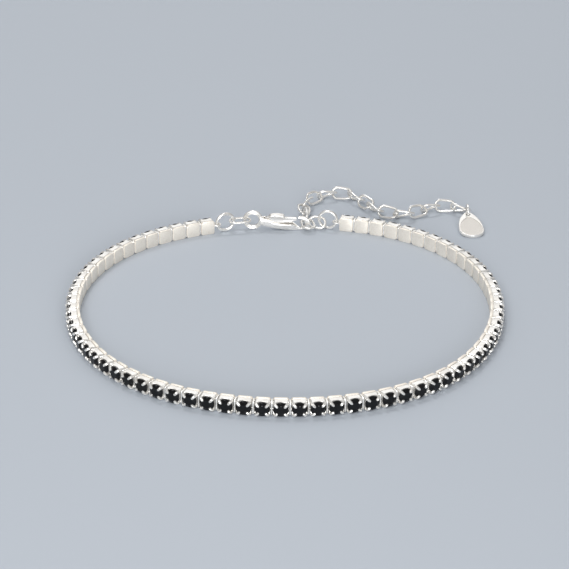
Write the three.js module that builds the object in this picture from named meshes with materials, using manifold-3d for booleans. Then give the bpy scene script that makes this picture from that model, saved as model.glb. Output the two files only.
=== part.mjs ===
// Tennis bracelet: a row of square four-prong cups with round black stones, closed by a lobster clasp,
// with a short extender chain and a teardrop tag. It lies on its edge, stones facing outwards.
// Millimetres, +Z up, +X to the right and -Y towards the front of the loop.
import * as THREE from "three";
import { mergeVertices } from "three/addons/utils/BufferGeometryUtils.js";
import Module from "manifold-3d";

const wasm = await Module();
wasm.setup();

// Driving dimensions of the stone chain.
const STONE_COUNT = 69;
const PITCH = 2.3;

// The loop's plan is a circle with a few gentle waves, measured at the inner face of the cups.
const LOOP = {
  radius: 28.15,
  startAngle: THREE.MathUtils.degToRad(113.1),
  waves: [
    { turns: 2, cosine: 0.0198, sine: 0.0167 },
    { turns: 3, cosine: -0.0054, sine: 0.0082 },
    { turns: 4, cosine: -0.0109, sine: -0.0018 },
  ],
  samples: 1440,
};

// The square setting: half widths of its back plate, waist and rim, and their depths outwards.
const SETTING = {
  plate: 1.02,
  waist: 0.86,
  rim: 0.97,
  plateDepth: 0.4,
  waistDepth: 0.55,
  rimDepth: 1.12,
};
const STONE = { girdleRadius: 1.0, tableRadius: 0.56, from: 1.05, girdle: 1.25, table: 1.5, facets: 8 };
const PRONG = { radius: 0.26, length: 0.8, foot: 1.18, from: 1.06, lean: 0.5 };
const CONNECTOR = { length: 0.6, height: 1.6, from: 0.08, depth: 0.26 };
const END_EYE = { radius: 0.5, wire: 0.16, reach: 0.34, height: 1.3, depth: 0.3 };

// Rings and links: radius is that of the wire's centre line, wire is the wire's radius.
const RING = { radius: 1.3, wire: 0.23 };
const CLASP_LINK = { halfLength: 1.54, halfWidth: 0.8, wire: 0.17, balance: 0.6 };
const FIRST_LINK = { halfLength: 1.25, halfWidth: 0.85, wire: 0.18, heading: -18, lean: 46 };
const FIRST_LINK_AT = new THREE.Vector3(4.37, 27.55, 0.92);
const LINK = { halfLength: 1.5, halfWidth: 0.9, wire: 0.18, count: 16, roll: 45 };
const TAG_RING = { radius: 0.95, wire: 0.17, slack: 0.15 };
const WIRE_SIDES = 5;
const RING_STEPS = 16;
const LINK_STEPS = 14;

// The clasp's own frame has its origin at the centre of its eye, with the hook towards +X.
const CLASP = {
  at: new THREE.Vector3(-5.3, 26.9, 1.5),
  eyeRadius: 1.49,
  eyeHole: 0.9,
  eyeThickness: 0.6,
  thickness: 1.3,
  hookThickness: 0.7,
  slotWidth: 0.7,
  pivot: { x: 2.25, z: -0.05 },
  pinRadius: 0.18,
  pinHole: 0.24,
  leverThickness: 0.5,
  padWidth: 1.0,
};

// The teardrop tag: length from its top edge to its round end, and the size of its hole.
const TAG = { length: 6.9, width: 3.7, thickness: 0.45, hole: 0.36, rim: 0.4, heading: -86, topHeight: 0.58 };

// Route of the extender links' centres behind the clasp, from the hooked link to the tag.
const EXTENDER_ROUTE = [
  { x: 2.99, y: 27.2, z: 0.8 },
  { x: 2.6, y: 29.6, z: 1.08 },
  { x: 2.4, y: 32, z: 0.95 },
  { x: 2.75, y: 34.3, z: 0.9 },
  { x: 3.9, y: 36.4, z: 0.82 },
  { x: 5.9, y: 37.8, z: 0.82 },
  { x: 8.3, y: 38.1, z: 0.82 },
  { x: 10.3, y: 36.9, z: 0.82 },
  { x: 11.7, y: 34.9, z: 0.82 },
  { x: 13.2, y: 32.9, z: 0.82 },
  { x: 15.2, y: 31.5, z: 0.82 },
  { x: 17.5, y: 31.2, z: 0.82 },
  { x: 19.6, y: 32.3, z: 0.82 },
  { x: 21.6, y: 33.7, z: 0.82 },
  { x: 23.9, y: 34.3, z: 0.82 },
  { x: 26, y: 33.4, z: 0.82 },
];

const silver = { color: 0xe9e7e2, metalness: 1.0, roughness: 0.18 };
const blackStoneInSilver = { color: 0x55555a, metalness: 0.6, roughness: 0.2 };
const Z_AXIS = new THREE.Vector3(0, 0, 1);

// A closed three.js geometry as a solid for joining and cutting.
function solidOf(geometry) {
  const bare = geometry.index ? geometry.toNonIndexed() : geometry.clone();
  for (const name of Object.keys(bare.attributes)) {
    if (name !== "position") bare.deleteAttribute(name);
  }
  const merged = mergeVertices(bare, 1e-4);
  return new wasm.Manifold(
    new wasm.Mesh({
      numProp: 3,
      vertProperties: merged.attributes.position.array,
      triVerts: new Uint32Array(merged.index.array),
    }),
  );
}

function joined(geometries) {
  return geometries.map(solidOf).reduce((whole, piece) => whole.add(piece));
}

function geometryOf(solid) {
  const { vertProperties, triVerts, numProp } = solid.getMesh();
  const count = vertProperties.length / numProp;
  const positions = new Float32Array(count * 3);
  for (let i = 0; i < count; i++) {
    positions.set(vertProperties.subarray(i * numProp, i * numProp + 3), i * 3);
  }
  const geometry = new THREE.BufferGeometry();
  geometry.setAttribute("position", new THREE.BufferAttribute(positions, 3));
  geometry.setIndex(new THREE.BufferAttribute(new Uint32Array(triVerts), 1));
  return geometry;
}

function meshOf(name, geometry, look) {
  const mesh = new THREE.Mesh(geometry, new THREE.MeshStandardMaterial(look));
  mesh.name = name;
  return mesh;
}

// A box from its size and centre.
function box(width, depth, height, x, y, z) {
  return new THREE.BoxGeometry(width, depth, height).translate(x, y, z);
}

// Distance of the loop from its centre in the direction of angle.
function loopRadius(angle) {
  const ripple = LOOP.waves.reduce(
    (sum, wave) => sum + wave.cosine * Math.cos(wave.turns * angle) + wave.sine * Math.sin(wave.turns * angle),
    1,
  );
  return LOOP.radius * ripple;
}

function loopPoint(angle) {
  const radius = loopRadius(angle);
  return new THREE.Vector3(radius * Math.cos(angle), radius * Math.sin(angle), 0);
}

// The joints between cups: points one pitch apart, anticlockwise from the left end of the row.
function chainJoints() {
  const step = (2 * Math.PI) / LOOP.samples;
  const joints = [loopPoint(LOOP.startAngle)];
  let last = joints[0];
  let travelled = 0;
  for (let i = 1; joints.length <= STONE_COUNT; i++) {
    const next = loopPoint(LOOP.startAngle + i * step);
    const stride = next.distanceTo(last);
    if (travelled + stride >= PITCH) {
      const joint = last.clone().lerp(next, (PITCH - travelled) / stride);
      joints.push(joint);
      travelled = joint.distanceTo(next);
    } else {
      travelled += stride;
    }
    last = next;
  }
  return joints;
}

// Places a piece drawn at the origin, with +X along heading, so that its origin is at point.
function placement(point, heading) {
  const side = new THREE.Vector3().crossVectors(Z_AXIS, heading).normalize();
  const along = new THREE.Vector3().crossVectors(side, Z_AXIS);
  return new THREE.Matrix4().makeBasis(along, side, Z_AXIS).setPosition(point);
}

// A solid of revolution with few sides, about Y, from named half widths and depths.
function turned(steps, sides) {
  const profile = steps.map(({ radius, depth }) => new THREE.Vector2(radius, depth));
  return new THREE.LatheGeometry(profile, sides).rotateY(Math.PI / sides);
}

// The square setting, drawn as a turned piece with four sides.
function setting() {
  const corner = Math.SQRT2;
  return turned(
    [
      { radius: 0, depth: 0 },
      { radius: SETTING.plate * corner, depth: 0 },
      { radius: SETTING.plate * corner, depth: SETTING.plateDepth },
      { radius: SETTING.waist * corner, depth: SETTING.waistDepth },
      { radius: SETTING.rim * corner, depth: SETTING.rimDepth },
      { radius: 0, depth: SETTING.rimDepth },
    ],
    4,
  );
}

// A round stone with a table and eight crown facets.
function stone() {
  return turned(
    [
      { radius: 0, depth: STONE.from },
      { radius: STONE.girdleRadius, depth: STONE.from },
      { radius: STONE.girdleRadius, depth: STONE.girdle },
      { radius: STONE.tableRadius, depth: STONE.table },
      { radius: 0, depth: STONE.table },
    ],
    STONE.facets,
  );
}

// Four corner prongs that narrow to a tip and lean in over the stone's crown.
function prongs() {
  return [0, 1, 2, 3].map((corner) =>
    new THREE.CylinderGeometry(0, PRONG.radius, PRONG.length, 3, 1)
      .translate(0, PRONG.length / 2, 0)
      .rotateX(-PRONG.lean)
      .translate(0, PRONG.from, PRONG.foot)
      .rotateY(Math.PI / 4 + (corner * Math.PI) / 2),
  );
}

// One cup standing on its edge: X along the chain, stone facing -Y, inner face at Y = 0.
function cup() {
  const solid = joined([setting(), stone(), ...prongs()]);
  return geometryOf(solid).rotateX(Math.PI).translate(0, 0, SETTING.plate);
}

// A closed ring of wire in the XY plane, drawn out along X into an oval link when stretch is not zero.
function wireRing(radius, wire, steps, stretch = 0) {
  const ring = new THREE.TorusGeometry(radius, wire, WIRE_SIDES, steps);
  const position = ring.attributes.position;
  for (let i = 0; i < position.count; i++) {
    position.setX(i, position.getX(i) + Math.sign(position.getX(i)) * stretch);
  }
  return ring;
}

function link(size) {
  return wireRing(size.halfWidth, size.wire, LINK_STEPS, size.halfLength - size.halfWidth);
}

// The whole row of cups, with connectors across the joints and a small eye at each end.
function stoneChain(joints) {
  const model = cup();
  const pieces = [];
  for (let i = 0; i < STONE_COUNT; i++) {
    const middle = joints[i].clone().lerp(joints[i + 1], 0.5);
    const heading = joints[i + 1].clone().sub(joints[i]).normalize();
    pieces.push(model.clone().applyMatrix4(placement(middle, heading)));
    if (i === 0) continue;
    const { length, depth, height, from } = CONNECTOR;
    const connector = box(length, depth, height, 0, -from - depth / 2, SETTING.plate);
    pieces.push(connector.applyMatrix4(placement(joints[i], heading)));
  }
  chainEnds(joints).forEach((end) => {
    const eye = wireRing(END_EYE.radius, END_EYE.wire, 12).translate(0, 0, END_EYE.height);
    pieces.push(eye.applyMatrix4(placement(end.eye, end.outward)));
  });
  return joined(pieces);
}

// Where each end eye sits, and the direction that leads away from the row there.
function chainEnds(joints) {
  const last = STONE_COUNT;
  return [
    { joint: joints[0], inner: joints[1] },
    { joint: joints[last], inner: joints[last - 1] },
  ].map(({ joint, inner }) => {
    const outward = joint.clone().sub(inner).normalize();
    const sidestep = new THREE.Vector3().crossVectors(Z_AXIS, outward).normalize();
    const towardsStones = inner === joints[1] ? 1 : -1;
    const eye = joint
      .clone()
      .addScaledVector(outward, END_EYE.reach)
      .addScaledVector(sidestep, towardsStones * END_EYE.depth);
    return { eye, outward };
  });
}

// A standing ring whose wire passes down through an end eye.
function endRing(end) {
  const centre = end.eye.clone().addScaledVector(end.outward, RING.radius);
  centre.z = RING.radius + RING.wire;
  const ring = wireRing(RING.radius, RING.wire, RING_STEPS).rotateX(Math.PI / 2);
  const farSide = centre.clone().addScaledVector(end.outward, RING.radius);
  return { farSide, geometry: ring.applyMatrix4(placement(centre, end.outward)) };
}

// The flat-lying link between the left ring's far side and the clasp's eye.
function claspLink(ringSide) {
  const start = ringSide.clone().setZ(CLASP.at.z);
  const heading = CLASP.at.clone().sub(start).normalize();
  const reach = (CLASP.eyeRadius + CLASP.eyeHole) / 2;
  const middle = start.lerp(CLASP.at.clone().addScaledVector(heading, -reach), CLASP_LINK.balance);
  return link(CLASP_LINK).applyMatrix4(placement(middle, heading));
}

// The short link between the right ring and the hooked link, leaning back with its face to the front.
function firstLink() {
  return link(FIRST_LINK)
    .rotateX(THREE.MathUtils.degToRad(FIRST_LINK.lean))
    .rotateZ(THREE.MathUtils.degToRad(FIRST_LINK.heading))
    .translate(...FIRST_LINK_AT.toArray());
}

// A flat piece drawn in the clasp's XZ plane, centred on Y = 0.
function plateFrom(shape, thickness, curveSegments = 6) {
  const plate = new THREE.ExtrudeGeometry(shape, { depth: thickness, bevelEnabled: false, curveSegments });
  return plate.translate(0, 0, -thickness / 2).rotateX(Math.PI / 2);
}

// The claw: neck, lower jaw and hook, round to the tip above the hook's hole.
function clawShape() {
  const shape = new THREE.Shape();
  shape.moveTo(1.1, 0.38);
  shape.lineTo(1.75, 0.46);
  shape.quadraticCurveTo(2.35, 0.44, 2.8, 0.05);
  shape.quadraticCurveTo(3.3, -0.28, 4.2, -0.36);
  shape.lineTo(6.2, -0.46);
  shape.quadraticCurveTo(6.75, -1.1, 7.3, -1.08);
  shape.quadraticCurveTo(7.95, -0.95, 7.9, -0.25);
  shape.quadraticCurveTo(7.75, 0.38, 6.78, 0.34);
  shape.lineTo(6.78, 0.7);
  shape.quadraticCurveTo(8.5, 0.8, 8.7, -0.3);
  shape.quadraticCurveTo(8.6, -1.4, 7.0, -1.49);
  shape.quadraticCurveTo(3.6, -1.5, 1.1, -0.5);
  return shape;
}

// The open channel in the claw that the lever swings into.
function channelShape() {
  const shape = new THREE.Shape();
  shape.moveTo(1.62, 0.9);
  shape.lineTo(6.95, 0.9);
  shape.lineTo(6.95, -1.16);
  shape.quadraticCurveTo(3.8, -1.2, 1.62, -0.42);
  return shape;
}

function leverShape() {
  const shape = new THREE.Shape();
  shape.moveTo(1.8, 0.0);
  shape.quadraticCurveTo(1.82, 0.55, 2.6, 0.7);
  shape.lineTo(4.6, 0.7);
  shape.lineTo(4.8, 0.52);
  shape.lineTo(6.64, 0.52);
  shape.lineTo(6.64, 0.06);
  shape.quadraticCurveTo(5.0, -0.46, 3.2, -0.5);
  shape.quadraticCurveTo(1.86, -0.5, 1.8, 0.0);
  const hole = new THREE.Path();
  hole.absarc(CLASP.pivot.x, CLASP.pivot.z, CLASP.pinHole, 0, 2 * Math.PI);
  shape.holes.push(hole);
  return shape;
}

// A round bar across the clasp at its pivot.
function pivotBar(radius, length) {
  return new THREE.CylinderGeometry(radius, radius, length, 12).translate(CLASP.pivot.x, 0, CLASP.pivot.z);
}

// The clasp's fixed half, with its eye, channel, thinner hook end and pivot pin.
function claspBody() {
  const claw = solidOf(plateFrom(clawShape(), CLASP.thickness));
  const channel = solidOf(plateFrom(channelShape(), CLASP.slotWidth));
  const shaving = (CLASP.thickness - CLASP.hookThickness) / 2;
  const hookStart = 6.5;
  const sides = [1, -1].map((side) =>
    solidOf(box(3, shaving, 4, hookStart + 1.5, (side * (CLASP.thickness - shaving)) / 2 + side * 0.01, 0)),
  );
  const eyeShape = new THREE.Shape().absarc(0, 0, CLASP.eyeRadius, 0, 2 * Math.PI);
  const eyeHole = new THREE.Path().absarc(0, 0, CLASP.eyeHole, 0, 2 * Math.PI);
  eyeShape.holes.push(eyeHole);
  const eye = solidOf(plateFrom(eyeShape, CLASP.eyeThickness, 10));
  const pin = solidOf(pivotBar(CLASP.pinRadius, CLASP.thickness - 0.2));
  const cut = sides.reduce((body, side) => body.subtract(side), claw.subtract(channel));
  return cut.add(eye).add(pin);
}

// The sprung lever with its thumb pad.
function claspLever() {
  const blade = solidOf(plateFrom(leverShape(), CLASP.leverThickness));
  const pad = new THREE.Shape();
  pad.moveTo(2.55, 0.6);
  pad.lineTo(4.64, 0.6);
  pad.lineTo(4.58, 0.96);
  pad.quadraticCurveTo(3.7, 1.12, 2.9, 1.0);
  return blade.add(solidOf(plateFrom(pad, CLASP.padWidth)));
}

// Centres, headings and rolls of the extender's links, evenly spaced along the route.
function extenderLinks() {
  const points = EXTENDER_ROUTE.map(({ x, y, z }) => new THREE.Vector3(x, y, z));
  const route = new THREE.CatmullRomCurve3(points, false, "centripetal");
  route.arcLengthDivisions = 800;
  return Array.from({ length: LINK.count }, (_, k) => {
    const share = k / (LINK.count - 1);
    const settling = Math.max(0, 1 - k / 4);
    const roll = LINK.roll * ((k % 2 ? -1 : 1) - settling);
    return { centre: route.getPointAt(share), heading: route.getTangentAt(share), roll };
  });
}

function extenderLink({ centre, heading, roll }) {
  const flatHeading = heading.clone().setZ(0).normalize();
  return link(LINK)
    .rotateX(THREE.MathUtils.degToRad(roll))
    .applyMatrix4(placement(centre, flatHeading));
}

// The tag's ring stands in the tag's long direction, hooked by the last link and passing through the tag.
function tagLayout(lastLink) {
  const angle = THREE.MathUtils.degToRad(TAG.heading);
  const heading = new THREE.Vector3(Math.cos(angle), Math.sin(angle), 0);
  const grip = LINK.halfLength - LINK.wire - TAG_RING.wire - TAG_RING.slack;
  const ring = lastLink.centre
    .clone()
    .addScaledVector(lastLink.heading.clone().setZ(0).normalize(), grip)
    .addScaledVector(heading, TAG_RING.radius);
  ring.z = TAG_RING.radius + TAG_RING.wire;
  const hole = ring.clone().addScaledVector(heading, TAG_RING.radius - 0.05);
  return { heading, ring, hole };
}

// The teardrop lies nearly flat: its round end is on the surface and its hole is lifted by the ring.
function teardropTag({ heading, hole }) {
  const top = -(TAG.hole + TAG.rim);
  const end = TAG.length + top;
  const roundCentre = end - TAG.width / 2;
  const shape = new THREE.Shape();
  shape.moveTo(top + 0.1, TAG.rim);
  shape.bezierCurveTo(top + 1.4, 1.1, roundCentre - 2.2, TAG.width / 2, roundCentre, TAG.width / 2);
  shape.absarc(roundCentre, 0, TAG.width / 2, Math.PI / 2, -Math.PI / 2, true);
  shape.bezierCurveTo(roundCentre - 2.2, -TAG.width / 2, top + 1.4, -1.1, top + 0.1, -TAG.rim);
  shape.quadraticCurveTo(top - 0.1, 0, top + 0.1, TAG.rim);
  const hole2 = new THREE.Path();
  hole2.absarc(0, 0, TAG.hole, 0, 2 * Math.PI);
  shape.holes.push(hole2);
  const plate = new THREE.ExtrudeGeometry(shape, { depth: TAG.thickness, bevelEnabled: false, curveSegments: 7 });
  const droop = Math.asin(TAG.topHeight / end);
  const place = placement(hole.clone().setZ(TAG.topHeight), heading);
  return plate.rotateY(droop).applyMatrix4(place);
}

function build() {
  const bracelet = new THREE.Group();
  const joints = chainJoints();
  bracelet.add(meshOf("stone_chain", geometryOf(stoneChain(joints)), blackStoneInSilver));

  const [leftEnd, rightEnd] = chainEnds(joints);
  const leftRing = endRing(leftEnd);
  const rightRing = endRing(rightEnd);
  bracelet.add(meshOf("clasp_ring", leftRing.geometry, silver));
  bracelet.add(meshOf("extender_ring", rightRing.geometry, silver));
  bracelet.add(meshOf("clasp_link", claspLink(leftRing.farSide), silver));

  const clasp = new THREE.Group();
  clasp.position.copy(CLASP.at);
  clasp.add(meshOf("clasp_body", geometryOf(claspBody()), silver));
  clasp.add(meshOf("clasp_lever", geometryOf(claspLever()), silver));
  bracelet.add(clasp);

  bracelet.add(meshOf("extender_first_link", firstLink(), silver));
  const links = extenderLinks();
  links.forEach((place, k) => {
    const name = `extender_link_${String(k + 1).padStart(2, "0")}`;
    bracelet.add(meshOf(name, extenderLink(place), silver));
  });

  const layout = tagLayout(links[links.length - 1]);
  const tagRing = wireRing(TAG_RING.radius, TAG_RING.wire, RING_STEPS).rotateX(Math.PI / 2);
  bracelet.add(meshOf("tag_ring", tagRing.applyMatrix4(placement(layout.ring, layout.heading)), silver));
  bracelet.add(meshOf("teardrop_tag", teardropTag(layout), silver));

  // The part's origin is under the middle of its bounding box, on the surface that it lies on.
  const part = new THREE.Group();
  const bounds = new THREE.Box3().setFromObject(bracelet);
  const middle = bounds.getCenter(new THREE.Vector3());
  bracelet.position.set(-middle.x, -middle.y, -bounds.min.z);
  part.add(bracelet);
  return part;
}

export default build();
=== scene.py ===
"""Looks of a silver tennis bracelet with black stones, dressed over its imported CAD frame.

Lengths in this file are millimetres unless a name says otherwise. Each finished mesh is brought to metres.
"""

import logging
import math
from dataclasses import dataclass, field, replace
from enum import Enum
from typing import Callable, Iterable, Optional, Sequence

import bpy
import numpy as np
from mathutils import Matrix, Vector

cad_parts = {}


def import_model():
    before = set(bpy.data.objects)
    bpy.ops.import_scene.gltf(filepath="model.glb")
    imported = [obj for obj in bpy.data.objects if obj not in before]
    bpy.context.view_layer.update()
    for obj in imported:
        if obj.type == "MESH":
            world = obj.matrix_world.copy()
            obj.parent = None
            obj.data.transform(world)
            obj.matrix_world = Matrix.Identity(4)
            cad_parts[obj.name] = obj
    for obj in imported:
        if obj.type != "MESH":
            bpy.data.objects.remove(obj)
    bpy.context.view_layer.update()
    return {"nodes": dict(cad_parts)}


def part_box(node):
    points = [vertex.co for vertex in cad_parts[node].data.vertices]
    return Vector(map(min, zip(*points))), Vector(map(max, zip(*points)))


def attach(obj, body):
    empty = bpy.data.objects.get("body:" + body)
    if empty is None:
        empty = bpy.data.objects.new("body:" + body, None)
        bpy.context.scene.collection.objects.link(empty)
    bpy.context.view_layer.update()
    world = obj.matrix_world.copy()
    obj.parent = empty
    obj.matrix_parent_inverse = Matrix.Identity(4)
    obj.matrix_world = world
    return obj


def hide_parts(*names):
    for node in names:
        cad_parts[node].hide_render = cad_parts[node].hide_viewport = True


Piece = bpy.types.Object
Material = bpy.types.Material
Tree = bpy.types.NodeTree
Socket = bpy.types.NodeSocket

LOG = logging.getLogger("tennis_bracelet")
MILLIMETRE = 0.001
TINY = 1e-4  # points nearer to each other than this are one point
NEAR = 0.01  # a point within this of a level is on it
CREASE = 40.0  # degrees: bends sharper than this stay crisp on a flat-sided piece
ROUND_CREASE = 60.0  # degrees: the same on wire and castings
SQUARE_EDGE = 50.0  # degrees: bends sharper than this are edges that get rounded
EIGHTH_TURN = math.pi / 4
DRILL = 2.0  # the length of a drill that goes right through a thin part
UP = Vector((0, 0, 1))
CLASP_AT = Vector((-5.3, 26.9, 1.5))  # the middle of the clasp's eye, from the loop's own centre
CLASP_EYE = 1.49  # the eye's outer radius in the solids


class Slot(Enum):
    """The record's material slots."""

    SILVER = "silver"
    SILVER_AND_STONE = "silver_and_black_stone"


class Body(Enum):
    """The frame's moving bodies."""

    BRACELET = "bracelet"
    LEVER = "lever"


class Axis(Enum):
    """The axis that a turned or drilled shape lies along, as the rotation that takes +Z there."""

    X = (0, math.pi / 2, 0)
    Y = (-math.pi / 2, 0, 0)
    Z = (0, 0, 0)


class Element(Enum):
    """What is picked in edit mode."""

    POINT = "VERT"
    EDGE = "EDGE"


# ---- Materials ----


def linear(hex_colour: str) -> tuple[float, float, float, float]:
    """Turns an sRGB hex colour into linear RGBA, by the standard sRGB curve.

    Args:
        hex_colour: A colour such as "F2F0EB".

    Returns:
        The linear red, green, blue and an alpha of one.
    """
    channels = [int(hex_colour[i : i + 2], 16) / 255 for i in (0, 2, 4)]
    values = [c / 12.92 if c <= 0.04045 else ((c + 0.055) / 1.055) ** 2.4 for c in channels]
    return values[0], values[1], values[2], 1.0


def add_node(
    tree: Tree,
    kind: str,
    settings: Optional[dict[str, object]] = None,
    links: Optional[dict[str, Socket]] = None,
) -> bpy.types.Node:
    """Adds a shader node with its settings and incoming links.

    Args:
        tree: The node tree that takes the node.
        kind: The node's type name.
        settings: Socket values by socket name, node properties by attribute name, or a colour ramp's
            "stops" as pairs of a position and an sRGB hex colour.
        links: Output sockets that feed this node, by input socket name.

    Returns:
        The new node.
    """
    node = tree.nodes.new(kind)
    for name, value in (settings or {}).items():
        if name == "stops":
            for element, (position, colour) in zip(node.color_ramp.elements, value):
                element.position, element.color = position, linear(colour)
        elif name in node.inputs:
            node.inputs[name].default_value = value
        else:
            setattr(node, name, value)
    for name, socket in (links or {}).items():
        tree.links.new(socket, node.inputs[name])
    return node


def new_material(name: str) -> Material:
    """Makes an empty node material.

    Args:
        name: The material's name.

    Returns:
        The material.
    """
    material = bpy.data.materials.new(name)
    material.use_nodes = True
    material.node_tree.nodes.clear()
    return material


def cloudy(tree: Tree, size: float, detail: float = 2.0) -> Socket:
    """Lays a soft irregular pattern over a piece, on Object coordinates.

    Args:
        tree: The node tree.
        size: The size of its features, in millimetres.
        detail: The number of finer octaves.

    Returns:
        Its output socket, from 0 to 1.
    """
    place = add_node(tree, "ShaderNodeTexCoord").outputs["Object"]
    settings = {"Scale": 1.0 / (size * MILLIMETRE), "Detail": detail}
    return add_node(tree, "ShaderNodeTexNoise", settings, {"Vector": place}).outputs["Fac"]


def surfaced(
    material: Material, settings: dict[str, object], links: Optional[dict[str, Socket]] = None
) -> Material:
    """Closes a material with its one surface shader.

    Args:
        material: The material, with its pattern in place.
        settings: The shader's constants, by socket name.
        links: What feeds the shader, by input socket name.

    Returns:
        The same material.
    """
    tree = material.node_tree
    shader = add_node(tree, "ShaderNodeBsdfPrincipled", settings, links)
    add_node(tree, "ShaderNodeOutputMaterial", links={"Surface": shader.outputs["BSDF"]})
    return material


@dataclass(frozen=True)
class PolishedSilver:
    """Sterling silver with a bright rhodium plating, tumbled and polished: white, with soft reflections.

    The plating scatters a little light of its own, so the metal stays white where it faces the floor.
    """

    name: str = "sterling_silver_rhodium_polished"
    deep: tuple[float, str] = (0.3, "E9E5DF")
    light: tuple[float, str] = (0.62, "F8F6F2")
    metal: float = 0.64
    roughness_low: float = 0.14
    roughness_high: float = 0.26
    tone_size: float = 1.6
    wave_size: float = 0.5
    wave_detail: float = 3.0
    wave_depth: float = 0.003
    wave_strength: float = 0.25

    def build(self) -> Material:
        """Builds the silver with faint tone changes and the soft waves that tumbling leaves.

        Returns:
            The material.
        """
        material = new_material(self.name)
        tree = material.node_tree
        tone = cloudy(tree, self.tone_size)
        colour = add_node(tree, "ShaderNodeValToRGB", {"stops": (self.deep, self.light)}, {"Fac": tone})
        wave = cloudy(tree, self.wave_size, self.wave_detail)
        sheen = {"To Min": self.roughness_low, "To Max": self.roughness_high}
        polish = add_node(tree, "ShaderNodeMapRange", sheen, {"Value": wave})
        relief = {"Strength": self.wave_strength, "Distance": self.wave_depth * MILLIMETRE}
        bump = add_node(tree, "ShaderNodeBump", relief, {"Height": wave})
        return surfaced(
            material,
            {"Metallic": self.metal},
            {
                "Base Color": colour.outputs["Color"],
                "Roughness": polish.outputs["Result"],
                "Normal": bump.outputs["Normal"],
            },
        )


@dataclass(frozen=True)
class SatinSilver:
    """Sterling silver pickled to a matt skin: soft, warm white, scattering light almost as paint does."""

    name: str = "sterling_silver_pickled_matt"
    deep: tuple[float, str] = (0.32, "EEE6DA")
    light: tuple[float, str] = (0.6, "FBF5EB")
    metal: float = 0.62
    roughness: float = 0.5
    grit: float = 0.12
    grit_depth: float = 0.004
    grit_strength: float = 0.6

    def build(self) -> Material:
        """Builds the matt silver, with its fine grit drawn a little coarser than life so that it shows.

        Returns:
            The material.
        """
        material = new_material(self.name)
        tree = material.node_tree
        grain = cloudy(tree, self.grit)
        relief = {"Strength": self.grit_strength, "Distance": self.grit_depth * MILLIMETRE}
        bump = add_node(tree, "ShaderNodeBump", relief, {"Height": grain})
        colour = add_node(tree, "ShaderNodeValToRGB", {"stops": (self.deep, self.light)}, {"Fac": grain})
        return surfaced(
            material,
            {"Metallic": self.metal, "Roughness": self.roughness},
            {"Base Color": colour.outputs["Color"], "Normal": bump.outputs["Normal"]},
        )


@dataclass(frozen=True)
class BlackOnyx:
    """Black onyx, cut and polished: opaque, near black, with small sharp reflections on its facets."""

    name: str = "black_onyx_cut_polished"
    deep: tuple[float, str] = (0.35, "030304")
    light: tuple[float, str] = (0.7, "0E0E10")
    roughness: float = 0.05
    index: float = 1.54
    shine: float = 0.3
    cloud_size: float = 0.35

    def build(self) -> Material:
        """Builds the stone, with a faint cloudiness under its polish.

        Returns:
            The material.
        """
        material = new_material(self.name)
        tree = material.node_tree
        cloud = cloudy(tree, self.cloud_size)
        colour = add_node(tree, "ShaderNodeValToRGB", {"stops": (self.deep, self.light)}, {"Fac": cloud})
        return surfaced(
            material,
            {"Roughness": self.roughness, "IOR": self.index, "Specular IOR Level": self.shine},
            {"Base Color": colour.outputs["Color"]},
        )


@dataclass(frozen=True)
class PaleFloor:
    """A plain pale painted table top, matt."""

    name: str = "studio_floor_matt_paint"
    colour: str = "BEC5CE"
    roughness: float = 0.7

    def build(self) -> Material:
        """Builds the plain floor."""
        settings = {"Base Color": linear(self.colour), "Roughness": self.roughness}
        return surfaced(new_material(self.name), settings)


@dataclass(frozen=True)
class Palette:
    """The finishes, each built once."""

    silver: Material
    satin: Material
    brushed: Material
    stone: Material

    @classmethod
    def mixed(cls) -> "Palette":
        """Builds every finish of the bracelet."""
        # The tag's face is brushed rather than pickled: the same fine grit in a greyer silver. The grey is
        # painted shade that darkens the face against the polished rim.
        brushed = SatinSilver("sterling_silver_fine_brushed", (0.32, "D0CBC5"), (0.6, "DEDAD4"))
        return cls(PolishedSilver().build(), SatinSilver().build(), brushed.build(), BlackOnyx().build())


# ---- Bench tools: thin wrappers round the modelling operators ----


def only(piece: Piece) -> Piece:
    """Selects and activates one object alone, in object mode.

    Args:
        piece: The object.

    Returns:
        The same object.
    """
    if bpy.context.object is not None and bpy.context.object.mode != "OBJECT":
        leave_edit()
    bpy.ops.object.select_all(action="DESELECT")
    piece.select_set(True)
    bpy.context.view_layer.objects.active = piece
    return piece


def leave_edit() -> None:
    """Returns to object mode."""
    bpy.ops.object.mode_set(mode="OBJECT")


def fresh(name: str, material: Optional[Material] = None) -> Piece:
    """Names the object that an operator has just added and gives it its material.

    Args:
        name: The object's name.
        material: Its one material, if it has one yet.

    Returns:
        The object, with its place, turn and size moved into its mesh.
    """
    piece = bpy.context.object
    piece.name = name
    piece.data.name = name
    bpy.context.view_layer.update()
    piece.data.transform(piece.matrix_world)
    piece.matrix_world = Matrix.Identity(4)
    if material is not None:
        piece.data.materials.clear()
        piece.data.materials.append(material)
    return only(piece)


def select(piece: Piece, element: Element, wanted: Callable[..., bool]) -> None:
    """Selects points or edges by their place and enters edit mode.

    Args:
        piece: The mesh object.
        element: Whether points or edges are selected.
        wanted: Tells whether a point, or the edge between two points, is to be selected.
    """
    only(piece)
    bpy.ops.object.mode_set(mode="EDIT")
    bpy.ops.mesh.select_mode(type=element.value)
    bpy.ops.mesh.select_all(action="DESELECT")
    leave_edit()
    points = [vertex.co for vertex in piece.data.vertices]
    if element is Element.EDGE:
        picked = [bool(wanted(*(points[end] for end in edge.vertices))) for edge in piece.data.edges]
        piece.data.edges.foreach_set("select", picked)
    else:
        piece.data.vertices.foreach_set("select", [bool(wanted(point)) for point in points])
    bpy.ops.object.mode_set(mode="EDIT")


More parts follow.
